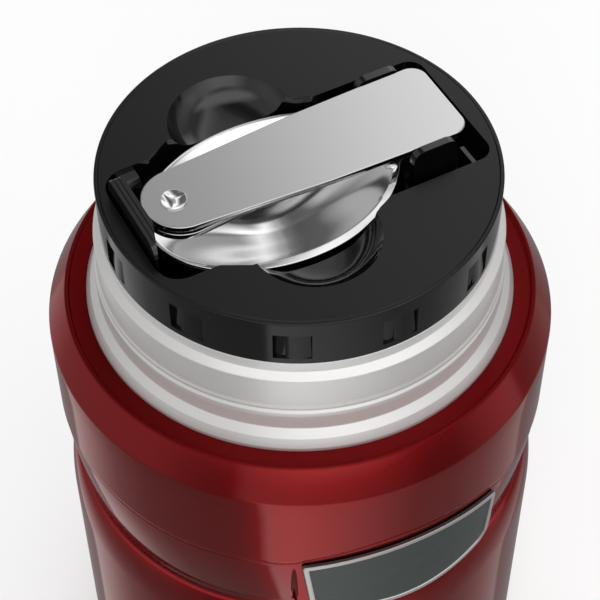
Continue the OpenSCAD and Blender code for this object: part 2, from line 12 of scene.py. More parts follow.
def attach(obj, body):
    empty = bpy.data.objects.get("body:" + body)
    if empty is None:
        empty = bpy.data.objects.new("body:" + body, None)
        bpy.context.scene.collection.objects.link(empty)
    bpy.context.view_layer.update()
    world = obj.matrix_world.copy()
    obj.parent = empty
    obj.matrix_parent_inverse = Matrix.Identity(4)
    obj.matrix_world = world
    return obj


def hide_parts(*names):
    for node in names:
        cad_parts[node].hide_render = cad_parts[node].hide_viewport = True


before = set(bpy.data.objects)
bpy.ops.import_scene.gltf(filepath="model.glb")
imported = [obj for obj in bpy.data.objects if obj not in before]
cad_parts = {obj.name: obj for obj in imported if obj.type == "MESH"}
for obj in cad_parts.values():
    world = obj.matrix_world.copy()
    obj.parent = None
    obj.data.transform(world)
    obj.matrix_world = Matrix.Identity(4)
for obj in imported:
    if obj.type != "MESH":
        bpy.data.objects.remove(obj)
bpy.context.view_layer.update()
scene = bpy.context.scene

# ---------------- outer shell
# The outer can is drawn from steel sheet, rolled in at the waist and the groove, and sprayed with clear red
# lacquer over the bright metal. A shallow seat is pressed into the waist for the name plate, and the crease
# under the collar rises over it in a low arch.

MM = 0.001
body_r, collar_top, floor_z, lower_h = 47.0, 101.0, 106.6, 53.0
crease_z, arch_rise, arch_half = 81.7, 4.3, 21.7
waist_r, waist_depth, waist_top, waist_h = 46.8, 1.7, 81.5, 15.7
plate_z, plate_w, plate_h, top_bow, low_bow = 74.35, 39.4, 18.7, 2.2, 3.2
seat_r, seat_margin, seat_slope = 46.85, 1.5, 0.9
foot_r, foot_round, shell_in = 43.5, 3.5, 46.4


def soften(path, turn=12):
    """The outline with its corners rounded: a point's third number is its radius."""
    out = []
    for i, p in enumerate(path):
        b = Vector(p[:2])
        if len(p) < 3:
            out.append(tuple(b))
            continue
        u = Vector(path[i - 1][:2]) - b
        v = Vector(path[(i + 1) % len(path)][:2]) - b
        half = u.angle(v) / 2
        cut = min(p[2] / math.tan(half), 0.49 * u.length, 0.49 * v.length)
        radius = cut * math.tan(half)
        u.normalize()
        v.normalize()
        centre = b + (u + v).normalized() * radius / math.sin(half)
        start, end = b + u * cut - centre, b + v * cut - centre
        sweep = math.atan2(start.x * end.y - start.y * end.x, start.dot(end))
        steps = max(2, math.ceil(abs(math.degrees(sweep)) / turn))
        for k in range(steps + 1):
            s, c = math.sin(sweep * k / steps), math.cos(sweep * k / steps)
            out.append((centre.x + start.x * c - start.y * s, centre.y + start.x * s + start.y * c))
    return out


def stand(name, data):
    """A new object in the scene."""
    holder = bpy.data.objects.new(name, data)
    scene.collection.objects.link(holder)
    return holder


def evaluated(holder):
    """A plain mesh of what an object's curve or modifiers make."""
    return bpy.data.meshes.new_from_object(holder.evaluated_get(bpy.context.evaluated_depsgraph_get()))


def applied(piece):
    """The piece with its modifiers applied to its mesh."""
    mesh = evaluated(piece)
    piece.modifiers.clear()
    piece.data = mesh
    return piece


def solid(name, points, faces, sharp=35):
    """A closed mesh piece in metres from points in millimetres, smooth up to the sharp angle."""
    mesh = bpy.data.meshes.new(name)
    mesh.from_pydata((np.asarray(points, float) * MM).tolist(), [], faces)
    return closed(name, mesh, sharp)


def closed(name, mesh, sharp=35):
    """The mesh as a piece, with its doubles merged, its faces outwards and its shading set."""
    shape = bmesh.new()
    shape.from_mesh(mesh)
    bmesh.ops.remove_doubles(shape, verts=shape.verts, dist=2e-7)
    bmesh.ops.recalc_face_normals(shape, faces=shape.faces)
    shape.to_mesh(mesh)
    shape.free()
    mesh.shade_smooth()
    mesh.set_sharp_from_angle(angle=math.radians(sharp))
    return stand(name, mesh)


def quads(n, m, ring=True):
    """The faces between n loops of m points each; in a ring the last loop meets the first."""
    return [[i * m + k, i * m + (k + 1) % m, (i + 1) % n * m + (k + 1) % m, (i + 1) % n * m + k]
            for i in range(n if ring else n - 1) for k in range(m)]


def revolve(name, outlines, angles=256, sharp=35):
    """A solid of revolution from one closed outline of (radius, height), or from one for each angle."""
    if isinstance(angles, int):
        angles = np.arange(angles) * 2 * math.pi / angles
    r, z = np.moveaxis(np.asarray(outlines, float), -1, 0)
    a = np.asarray(angles)[:, None]
    points = np.stack(np.broadcast_arrays(r * np.cos(a), r * np.sin(a), z), -1)
    return solid(name, points.reshape(-1, 3), quads(*points.shape[:2]), sharp)


def linear(code):
    """A linear colour from an sRGB hex code."""
    parts = [int(code[i:i + 2], 16) / 255 for i in (1, 3, 5)]
    return (*[c / 12.92 if c <= 0.04045 else ((c + 0.055) / 1.055) ** 2.4 for c in parts], 1)


def add(tree, kind, wires={}, operation=None, **settings):
    """Adds a node; wires sets its inputs to values, to nodes, to their outputs or to triples of these."""
    node = tree.nodes.new(kind) if isinstance(kind, str) else kind
    if operation:
        node.operation = operation
    for key, value in settings.items():
        setattr(node, key, value)
    for key, value in wires.items():
        if isinstance(value, tuple) and any(isinstance(part, bpy.types.bpy_struct) for part in value):
            value = add(tree, "ShaderNodeCombineXYZ", dict(enumerate(value)))
        if isinstance(value, bpy.types.Node):
            value = value.outputs[0]
        if isinstance(value, bpy.types.NodeSocket):
            tree.links.new(value, node.inputs[key])
        else:
            node.inputs[key].default_value = value
    return node


def finish(name, colour=None, wires={}):
    """A new material: its tree, its one shader with this colour and inputs, and the spot on the piece."""
    material = bpy.data.materials.new(name)
    material.use_nodes = True
    tree = material.node_tree
    shader = add(tree, tree.nodes["Principled BSDF"], wires)
    if colour:
        add(tree, shader, {"Base Color": linear(colour)})
    return material, tree, shader, add(tree, "ShaderNodeTexCoord").outputs["Object"]


def vary(tree, shader, pattern, colours=(), rough=(), bump=()):
    """Lets a pattern drive the colour between two codes, the roughness in a range, and bumps of a strength
    and a height."""
    if colours:
        low, high = map(linear, colours)
        mix = add(tree, "ShaderNodeMix", {0: pattern, 6: low, 7: high}, data_type="RGBA")
        add(tree, shader, {"Base Color": mix.outputs[2]})
    if rough:
        low, high = rough
        add(tree, shader, {"Roughness": add(tree, "ShaderNodeMapRange", {
            "Value": pattern, "To Min": low, "To Max": high})})
    if bump:
        strength, height = bump
        add(tree, shader, {"Normal": add(tree, "ShaderNodeBump", {
            "Height": pattern, "Strength": strength, "Distance": height * MM})})


def patterned(name, colour, wires, texture, kind="ShaderNodeTexNoise", mapping=None, settings={}, **drives):
    """A new material with one texture, which drives what vary takes."""
    material, tree, shader, spot = finish(name, colour, wires)
    if mapping:
        spot = add(tree, "ShaderNodeMapping", {"Vector": spot, **mapping})
    outputs = add(tree, kind, {"Vector": spot, **texture}, **settings).outputs
    vary(tree, shader, outputs.get("Fac", outputs[0]), **drives)
    return material


def dress(piece, material):
    """Gives a piece this material alone."""
    piece.data.materials.clear()
    piece.data.materials.append(material)


def place(piece, material, body, slot, *nodes):
    """Gives a piece its material and body and hides the solids that it stands for; the record slot is not
    used.
    """
    dress(piece, material)
    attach(piece, body)
    if nodes:
        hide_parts(*nodes)


# The mesh is finer around the plate, which faces the front.
front = -math.pi / 2
shell_angles = np.concatenate([np.arange(-32, 32, 0.4), np.linspace(32, 328, 238, endpoint=False)])
shell_angles = np.radians(shell_angles) + front
lip = soften([(39.6, floor_z), (42.55, floor_z, 0.35), (42.85, 107.05, 0.2), (43.4, 107.1, 0.25),
              (body_r, collar_top, 1.4), (body_r, 96.0)], 10)
groove = [(45.05, 64.9), (44.98, 64.1), (44.98, 63.65), (45.03, 63.4)]
shoulder = [(45.0 + 2 * math.sin(a), lower_h + 10.3 * math.cos(a)) for a in np.radians(np.arange(8, 90.1, 5))]
foot = [(foot_r + foot_round * math.cos(a), foot_round - foot_round * math.sin(a))
        for a in np.radians(np.arange(0, 91, 7.5))]
below = groove + shoulder + [(body_r, z) for z in (47, 40, 33, 26, 19, 12, 6)] + foot
inner_wall = [(42.0, 0.0), (42.0, 0.6), (foot_r, 0.6), (shell_in, foot_round), (shell_in, 30),
              (shell_in, lower_h), (44.4, 62.7), (44.4, 64), (46.2, 81.1), (shell_in, 82),
              (shell_in, collar_top), (43.0, 106.0), (39.6, 106.0)]
far_away = 99
outlines = []
for angle in shell_angles - front:
    x = body_r * math.sin(angle) if math.cos(angle) > 0 else far_away
    arch = arch_rise * (1 - (x / arch_half) ** 2)
    crease = crease_z + 0.5 * (arch + math.sqrt(arch * arch + 0.3))
    collar = [(body_r, z) for z in np.linspace(96, crease + 0.3, 22)[1:]]
    step = [(body_r - 0.04, crease + 0.1), (body_r - 0.16, crease), (46.66, crease - 0.12),
            (46.66, crease - 0.3), (46.76, crease - 0.42), (waist_r, crease - 0.6)]
    strip = [(waist_r, z) for z in np.linspace(crease - 0.6, 80.6, 9)[1:]]
    waist = [(waist_r - waist_depth * max(0, (waist_top - z) / waist_h) ** 1.45, z)
             for z in np.linspace(80.2, 65.6, 46)]
    rows = np.array(lip + collar + step + strip + waist + below)
    u = min(abs(x) / (plate_w / 2), 1.5)
    top = plate_z + plate_h / 2 - top_bow * u ** 2
    low = plate_z - plate_h / 2 + low_bow * u ** 2
    inside = np.minimum(np.minimum(top - rows[:, 1], rows[:, 1] - low), plate_w / 2 - abs(x))
    mask = np.clip((inside + seat_margin) / seat_slope, 0, 1)
    mask = mask * mask * (3 - 2 * mask)
    seat = (rows[:, 1] < crease - 0.5) & (rows[:, 1] > 60)
    rows[:, 0] += np.where(seat, np.maximum(seat_r - rows[:, 0], 0) * mask, 0)
    outlines.append(np.concatenate([rows, inner_wall]))
painted_can = revolve("painted_can", outlines, shell_angles, 40)

# Candy lacquer: clear red resin over bright steel, under a hard, glossy clear coat. The ring-shaped floor
# around the
#  neck is painted darker, with less coat and more roughness: painted shade for the shadowed floor beside the
#  neck.
ring_shade_r = 43.4
lacquer, tree, shader, spot = finish("candy_red_lacquer_on_steel", None, {
    "Metallic": 1.0, "Specular Tint": (0.6, 0.3, 0.3, 1), "Coat Roughness": 0.03, "Coat IOR": 1.45})
from_crest = add(tree, "ShaderNodeVectorMath", {0: spot, 1: (0, 0, floor_z * MM)}, "DISTANCE")
ring_shade = add(tree, "ShaderNodeMapRange", {
    "Value": from_crest.outputs["Value"], "From Min": (ring_shade_r + 0.3) * MM, "From Max": ring_shade_r * MM})
coat, least, most = [add(tree, "ShaderNodeMapRange", {"Value": ring_shade, "To Min": on_wall, "To Max": in_ring_shade})
                     for on_wall, in_ring_shade in ((0.82, 0.12), (0.23, 0.5), (0.29, 0.56))]
grain = add(tree, "ShaderNodeTexNoise", {"Vector": spot, "Scale": 2600.0, "Detail": 2.0})
cloud = add(tree, "ShaderNodeTexNoise", {"Vector": spot, "Scale": 45.0, "Detail": 2.0})
add(tree, shader, {"Coat Weight": coat})
# Painted shade: the red turns darker in the ring floor beside the neck.
vary(tree, shader, ring_shade, colours=("#a90f15", "#780a0e"))
vary(tree, shader, cloud, rough=(least, most))
vary(tree, shader, grain, bump=(0.04, 0.1))
place(painted_can, lacquer, "jar", "lacquered_shell", "outer_shell")

# ---------------- neck
# The neck is rolled from stainless sheet with a bead near its foot. It is welded to the liner at the crest
# and to the can at the ring-shaped floor, then satin finished on a lathe, which leaves fine lines around it.

neck_out = [(34.1, 125.5), (35.3, 125.5, 0.3), (35.35, 123.55, 0.25), (36.85, 122.6, 0.4), (36.9, 116.1, 0.1),
            (37.15, 115.6, 0.12), (37.15, 115.15, 0.1), (36.95, 114.85, 0.1), (37.35, 114.35, 0.15),
            (37.42, 113.65, 0.12), (37.3, 113.35, 0.1), (37.3, 110.2, 0.3), (38.6, 108.75, 0.4),
            (39.45, 107.15, 0.1), (39.5, 106.62), (39.5, 104.6)]
neck_in = [(39.0, 104.6), (39.0, 106.6), (38.2, 108.3), (36.8, 110.4), (36.8, 113.5), (36.4, 116.0),
           (36.35, 122.2), (34.85, 123.2), (34.8, 125.0), (34.1, 125.0)]
neck_sleeve = revolve("neck_sleeve", soften(neck_out + neck_in, 10), 288, 40)


def turned_lines(tree, spot, pitch, along):
    """Noise stretched around the axis, with lines this far apart and this long, in millimetres."""
    lathe_r = 38.0
    spot = add(tree, "ShaderNodeSeparateXYZ", {0: spot}).outputs
    turn = add(tree, "ShaderNodeMath", {0: spot["Y"], 1: spot["X"]}, operation="ARCTAN2")
    around = add(tree, "ShaderNodeMath", {0: turn, 1: lathe_r / along}, "MULTIPLY")
    up = add(tree, "ShaderNodeMath", {0: spot["Z"], 1: 1 / (MM * pitch)}, "MULTIPLY")
    return add(tree, "ShaderNodeTexNoise", {"Vector": (around, up, 0), "Scale": 1.0, "Detail": 3.0})


# Satin stainless steel: bright, a little warm, with fine turned lines that blur highlights up and down. Real
# lines are about 0.05 mm apart; they are drawn four times coarser, so that they show.
satin, tree, shader, spot = finish("satin_turned_stainless", "#edecea", {"Metallic": 0.7})
vary(tree, shader, turned_lines(tree, spot, 0.2, 30.0), rough=(0.34, 0.44), bump=(0.12, 0.02))
place(neck_sleeve, satin, "jar", "satin_steel", "neck_ring")

# ---------------- liner
# The liner is a deep-drawn stainless vessel that holds the food. Short thread lugs are rolled into its mouth,
# and the stopper's lugs run under them.

liner_path = [(33.6, 125.5), (33.6, 102.6, 1.5), (41.0, 95.2, 4.0), (41.0, 12.0, 8.0), (0.0, 12.0),
              (0.0, 11.5), (41.5, 11.5, 8.5), (41.5, 95.4, 3.5), (34.1, 102.8, 2.0), (34.1, 125.5)]
food_liner = revolve("food_liner", soften(liner_path, 9), 192, 40)


def mesh_tree(name, lengths, numbers):
    """A tree that makes a mesh, its named inputs and their values; lengths are in millimetres."""
    tree = bpy.data.node_groups.new(name, "GeometryNodeTree")
    tree.interface.new_socket("Geometry", in_out="OUTPUT", socket_type="NodeSocketGeometry")
    values = {**{label: length * MM for label, length in lengths.items()}, **numbers}
    for label in values:
        tree.interface.new_socket(label, in_out="INPUT", socket_type="NodeSocketFloat")
    return tree, tree.nodes.new("NodeGroupInput").outputs, values


def grown(tree, shape, values, material=None):
    """The plain mesh piece that a tree's last shape makes with these values of its inputs."""
    shape = add(tree, "GeometryNodeRealizeInstances", {"Geometry": shape})
    shape = add(tree, "GeometryNodeSetMaterial", {"Geometry": shape, "Material": material})
    add(tree, "NodeGroupOutput", {0: shape})
    holder = stand(tree.name + "_tree", bpy.data.meshes.new(tree.name))
    modifier = holder.modifiers.new("nodes", "NODES")
    modifier.node_group = tree
    for socket in tree.interface.items_tree:
        if socket.name in values:
            modifier[socket.identifier] = values[socket.name]
    mesh = evaluated(holder)
    bpy.data.objects.remove(holder)
    return closed(tree.name, mesh, 40)


def thread_row(name, root_r, crest_r, top_z, material):
    """A row of thread lugs that climbs with the thread's lead."""
    lead, first_lug, lugs, lugs_in_a_turn = 7.0, 60, 5, 4.0
    tree, size, values = mesh_tree(name, {
        "Lead": lead, "Root": root_r, "Crest": crest_r, "Root width": 2.0, "Crest width": 1.2,
        "Rounding": 0.3}, {"Lug turn": 70 / 360, "Lugs in a turn": lugs_in_a_turn, "End size": 0.4})
    middle = add(tree, "ShaderNodeMix", {0: 0.5, 2: size["Root"], 3: size["Crest"]})
    height = add(tree, "ShaderNodeMath", {0: size["Crest"], 1: size["Root"]}, "SUBTRACT")
    height = add(tree, "ShaderNodeMath", {0: height}, "ABSOLUTE")
    climb = add(tree, "ShaderNodeMath", {0: size["Lug turn"], 1: size["Lead"]}, "MULTIPLY")
    spine = add(tree, "GeometryNodeCurveSpiral", {
        "Resolution": 128, "Rotations": size["Lug turn"], "Start Radius": middle, "End Radius": middle,
        "Height": climb})
    # A lug is smaller towards both its ends.
    share = add(tree, "ShaderNodeMath", {0: add(tree, "GeometryNodeSplineParameter"), 1: 0.5},
                "SUBTRACT")
    share = add(tree, "ShaderNodeMath", {0: share}, "ABSOLUTE")
    fade = add(tree, "ShaderNodeMapRange", {
        "Value": share, "From Min": 0.5, "From Max": 0.44, "To Min": size["End size"], "To Max": 1.0})
    spine = add(tree, "GeometryNodeSetCurveNormal", {"Curve": spine}, mode="Z_UP")
    spine = add(tree, "GeometryNodeSetCurveRadius", {"Curve": spine, "Radius": fade})
    ridge = add(tree, "GeometryNodeCurvePrimitiveQuadrilateral", {
        "Height": height, "Bottom Width": size["Root width"], "Top Width": size["Crest width"],
        "Offset": 0.0}, mode="TRAPEZOID")
    ridge = add(tree, "GeometryNodeFilletCurve", {
        "Curve": ridge, "Radius": size["Rounding"], "Limit Radius": True, "Count": 3}, mode="POLY")
    ridge = add(tree, "GeometryNodeTransform", {
        "Geometry": ridge, "Rotation": (0, 0, math.pi / 2 if crest_r < root_r else -math.pi / 2)})
    lug = add(tree, "GeometryNodeCurveToMesh", {"Curve": spine, "Profile Curve": ridge, "Fill Caps": True})
    lug = add(tree, "GeometryNodeTransform", {"Geometry": lug, "Rotation": (0, 0, math.radians(first_lug))})
    index = add(tree, "GeometryNodeInputIndex")
    turns = add(tree, "ShaderNodeMath", {0: index, 1: size["Lugs in a turn"]}, "DIVIDE")
    lift = add(tree, "ShaderNodeMath", {0: turns, 1: size["Lead"]}, "MULTIPLY")
    turn = add(tree, "ShaderNodeMath", {0: turns, 1: 2 * math.pi}, "MULTIPLY")
    row = add(tree, "GeometryNodeMeshLine", {"Count": lugs})
    row = add(tree, "GeometryNodeSetPosition", {"Geometry": row, "Position": (0, 0, lift)})
    row = add(tree, "GeometryNodeInstanceOnPoints", {
        "Points": row, "Instance": lug, "Rotation": (0, 0, turn)})
    low_z = top_z - lead * lugs / lugs_in_a_turn
    row = add(tree, "GeometryNodeTransform", {"Geometry": row, "Translation": (0, 0, low_z * MM)})
    return grown(tree, row, values, material)


# Drawn stainless, washed and electropolished inside: bright, with soft circular lines.
drawn, tree, shader, spot = finish("drawn_stainless_liner", "#dcdcda", {"Metallic": 1.0})
vary(tree, shader, turned_lines(tree, spot, 0.35, 40.0), rough=(0.15, 0.27), bump=(0.08, 0.02))
mouth_thread = thread_row("mouth_thread", 33.9, 32.4, 116.5, drawn)
place(mouth_thread, drawn, "jar", "liner_steel")
place(food_liner, drawn, "jar", "liner_steel", "inner_liner")

# ---------------- vacuum space
# Copper foil wraps the liner to turn heat back. Under it a pressed steel bottom closes the vacuum space, a
# glass pellet seals the exhaust hole, and a getter pill in a spot-welded clip keeps the vacuum hard.

# Bare copper foil: warm, crinkled by hand wrapping.
copper = patterned("crinkled_copper_foil", "#c8814f", {"Metallic": 1.0, "Roughness": 0.3}, {"Scale": 160.0},
                   "ShaderNodeTexVoronoi", settings={"feature": "SMOOTH_F1"}, bump=(0.3, 0.5))

# Cold-rolled steel, left as it comes from the press: grey, with a faint grain.
pressed = patterned("cold_rolled_pressed_steel", "#a9abad", {"Metallic": 1.0},
                    {"Scale": 120.0, "Detail": 4.0}, mapping={"Scale": (1, 14, 1)},
                    rough=(0.3, 0.5), bump=(0.1, 0.03))

# Solder glass: dull grey-green, slightly glossy where it melted.
glass = patterned("fused_solder_glass", "#5d6b63", {"Roughness": 0.25}, {"Scale": 400.0}, bump=(0.2, 0.2))

# Pressed zirconium powder: dark grey and matt.
powder = patterned("pressed_getter_powder", None, {"Metallic": 0.6, "Roughness": 0.7}, {"Scale": 3000.0},
                   colours=("#5a5b5d", "#85868a"))

for node, material in {"liner_foil": copper, "vacuum_bottom": pressed, "exhaust_seal": glass,
                       "getter_holder": pressed, "getter": powder}.items():
    dress(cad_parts[node], material)

# ---------------- base cap
# A pressed steel cap covers the glass seal. It is held by the turned-in edge of the can, and its middle is
# raised a little, so that the jar stands on the rim alone.

base_cap = revolve("base_cap", soften([
    (0, 2.3), (39.5, 2.3, 1.0), (40.4, 1.4, 1.0), (43.2, 1.4), (43.2, 0.6), (40.1, 0.6, 0.6),
    (39.2, 1.5, 0.6), (0, 1.5)]), 192)

# Stamped stainless with a satin face: turned rings that spread highlights.
stamped = patterned("satin_pressed_stainless", "#c3c5c7", {"Metallic": 1.0},
                    {"Scale": 300.0, "Distortion": 1.5, "Detail": 3.0}, "ShaderNodeTexWave",
                    settings={"wave_type": "RINGS", "rings_direction": "Z"},
                    rough=(0.3, 0.38), bump=(0.05, 0.03))
place(base_cap, stamped, "jar", "base_steel", "base_cap")

# ---------------- name plate
# A thin, curved metal plate is taped to its seat on the waist. Its face is printed dark grey and left bare of
# any name, inside a raised, pale border.

half_w, half_h = plate_w / 2, plate_h / 2
low_w, end_z = half_w - 3, 5.2 - half_h
plate_corners = [(half_w * i / 6, half_h - top_bow * (i / 6) ** 2) for i in range(-6, 7)]
plate_corners += [(half_w - 1.2, end_z)]
plate_corners += [(low_w * i / 6, low_bow * (i / 6) ** 2 - half_h) for i in range(6, -7, -1)]
plate_corners += [(1.2 - half_w, end_z)]
plate_rounds = {0: 0.8, 12: 0.8, 13: 1.6, 14: 1.6, 26: 1.6, 27: 1.6}


def plate_loop(depth):
    """The plate's outline moved inwards by this depth, with rounded corners."""
    loop = [Vector(p) for p in plate_corners]
    moved = []
    for i, p in enumerate(loop):
        u = (p - loop[i - 1]).normalized()
        v = (loop[(i + 1) % len(loop)] - p).normalized()
        q = p + Vector((u.y + v.y, -u.x - v.x)) / (1 + u.dot(v)) * depth
        moved.append((q.x, q.y, max(plate_rounds[i] - depth, 0.1)) if i in plate_rounds else (q.x, q.y))
    return soften(moved, 15)


plate_edge = plate_loop(0)
plate_steps = [max(1, math.ceil(math.dist(a, b) / 0.9))
               for a, b in zip(plate_edge, plate_edge[1:] + plate_edge[:1])]


def curved_plate(name, steps, ring=False):
    """A closed plate or frame on the can's curve. Each step gives (share, inset, radius) of one loop."""
    rows = []
    for share, depth, radius in steps:
        loop = plate_loop(depth)
        row = []
        for (a, b), count in zip(zip(loop, loop[1:] + loop[:1]), plate_steps):
            for k in range(count):
                x, z = (share * (a[i] + (b[i] - a[i]) * k / count) for i in (0, 1))
                row.append((x, -math.sqrt(radius * radius - x * x), plate_z + z))
        rows.append(row)
    return solid(name, [p for row in rows for p in row], quads(len(rows), len(rows[0]), ring), 40)


tape_r, face_r, border_r = 47.1, 47.6, 47.8
on_face = face_r + 0.002
shares = [0, 0.12, 0.3, 0.5, 0.7, 0.87, 1]
bare_face = curved_plate("bare_plate_face", [(t, 0.02, tape_r) for t in shares] + [
    (1, 0.02, face_r - 0.05), (1, 0.07, face_r)] + [(t, 0.9, face_r) for t in shares[::-1]])
border = curved_plate("raised_plate_border", [
    (1, 0, on_face), (1, 0, border_r - 0.1), (1, 0.03, border_r - 0.03), (1, 0.1, border_r),
    (1, 0.85, border_r), (1, 0.93, border_r - 0.03), (1, 0.97, border_r - 0.1), (1, 0.99, on_face)],
    ring=True)

# Aluminium, screen printed dark grey: an even satin coat with a trace of lengthwise grain under it.
printed = patterned("dark_grey_printed_aluminium", None, {"Metallic": 0.35, "Roughness": 0.38},
                    {"Scale": 1.0, "Detail": 3.0}, mapping={"Scale": (60, 60, 2500)},
                    colours=("#383e3d", "#474e4d"), bump=(0.08, 0.03))

# The border is the same metal left bare and burnished: pale and softly bright.
burnished = patterned("burnished_aluminium_border", "#d8d4d2", {"Metallic": 0.9}, {"Scale": 900.0},
                      rough=(0.28, 0.4))

# Acrylic foam tape: dull dark grey, seen only as a line at the edge of the plate.
foam_tape = patterned("acrylic_foam_tape", "#3a3a3a", {"Roughness": 0.85}, {"Scale": 4000.0},
                      "ShaderNodeTexVoronoi", bump=(0.3, 0.05))

place(bare_face, printed, "jar", "plate_grey", "name_plate")
place(border, burnished, "jar", "plate_rim", "plate_border")
dress(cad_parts["plate_tape"], foam_tape)

# ---------------- stopper cap
# The cap is one black moulding: a disc with a skirt, a deep recess that takes the folded spoon, two finger
# scoops beside the bowl, a springy snap arm at the handle's rounded end and a tab on each side of its square
# end. Grip windows are sunk into the skirt.

stop_z, stop_turn = 136.0, math.radians(3.4)
disc_r, skirt_z, cavity_r, weld_z, cap_wall = 35.5, -10.2, 30.2, -9.2, 1.4
recess_x0, recess_x1, recess_y, recess_depth = -32.0, 31.5, 13.8, 8.0
bowl_x, bowl_a, bowl_b = -5.2, 23.7, 16.7
pocket_gap, pocket_depth, pocket_round = 1, 13.9, 4.0
scoop_y, scoop_r, scoop_depth = 15.4, 11.5, 4.5


def prism(name, outline, z0, z1):
    """A straight-sided solid on an outline."""
    n = len(outline)
    points = [(x, y, z) for z in (z0, z1) for x, y in outline]
    ends = [list(range(n))[::-1], list(range(n, 2 * n))]
    return solid(name, points, ends + quads(2, n, False))


def upright(name, outline, x0, x1):
    """A solid on an outline of (y, z), from x0 to x1."""
    piece = prism(name, outline, x0, x1)
    piece.data.transform(Matrix(((0, 0, 1, 0), (1, 0, 0, 0), (0, 1, 0, 0), (0, 0, 0, 1))))
    return piece


def both_sides(path):
    """A closed outline from its upper half, which runs from right to left."""
    return path + [(x, -y) for x, y in path[::-1] if y > 1e-6]


def arc(cx, cy, r, a0, a1, steps):
    """Points on an arc between two angles in degrees."""
    angles = [math.radians(a0 + (a1 - a0) * i / steps) for i in range(steps + 1)]
    return [(cx + r * math.cos(a), cy + r * math.sin(a)) for a in angles]


def combine(base, tool, how="UNION"):
    """Joins, cuts or intersects two solids into the first and removes the second."""
    modifier = base.modifiers.new(how, "BOOLEAN")
    modifier.operation, modifier.object, modifier.solver = how, tool, "EXACT"
    applied(base)
    bpy.data.objects.remove(tool)
    return base


def dish(name, cx, cy, a, b, profile):
    """A solid turned from an outline of (share of the radius, height) and stretched to an oval."""
    piece = revolve(name, profile, 96)
    piece.data.transform(Matrix.Diagonal((a, b, 1, 1)))
    piece.data.transform(Matrix.Translation((cx * MM, cy * MM, 0)))
    return piece


def recess_outline(g):
    """Outline of the spoon's recess, wider beside the bowl, and grown by g."""
    x0, x1, y = recess_x0 - g, recess_x1 + g, recess_y + g
    middle, swell = bowl_x - 0.7, 2.6
    path = [(x1, 0), (x1, y, 3 + g), (middle + 15.6 + g, y, 1.0), (middle + 11.5 + g / 2, y + swell, 1.0),
            (middle - 11.5 - g / 2, y + swell, 1.0), (middle - 16.4 - g, y, 1.0), (x0, y, 4.5 + g), (x0, 0)]
    return both_sides([p for p in soften(path + [(x0, -y), (x1, -y)], 10) if p[1] > 1e-6])


def scoop_cut(g, top):
    """Outline of one finger scoop: a smooth, shallow hollow."""
    r, d = scoop_r + g, scoop_depth + g
    rim = min(top, 0)
    hollow = [(u, -d * (1 - u ** 4.5)) for u in np.arange(0.08, 1, 0.04)]
    return ([(0, top), (0, -d)] + [(r * u, z) for u, z in hollow if z < rim - 0.05]
            + [(r, rim), (r, top + 0.001)])


def pocket_cut(g, top):
    """Outline of the oval pocket under the bowl, as shares of its radius."""
    z, k = -pocket_depth - g, 1 / (bowl_a + pocket_gap + g)
    return [(0, top), (0, z)] + [
        (1 - pocket_round * k + pocket_round * k * math.cos(a), z + pocket_round + pocket_round * math.sin(a))
        for a in np.radians(np.arange(-90, 1, 10))] + [(1, top)]


def hollows(g, floor, top):
    """The spoon's recess, the bowl's pocket and the two finger scoops as solids grown by g."""
    yield prism("recess", recess_outline(g), floor, top)
    wide = pocket_gap + g
    yield dish("pocket", bowl_x, 0, bowl_a + wide, bowl_b + wide, pocket_cut(g, top))
    for side in (-1, 1):
        yield dish("scoop", bowl_x, side * scoop_y, 1, 1, scoop_cut(g, top))


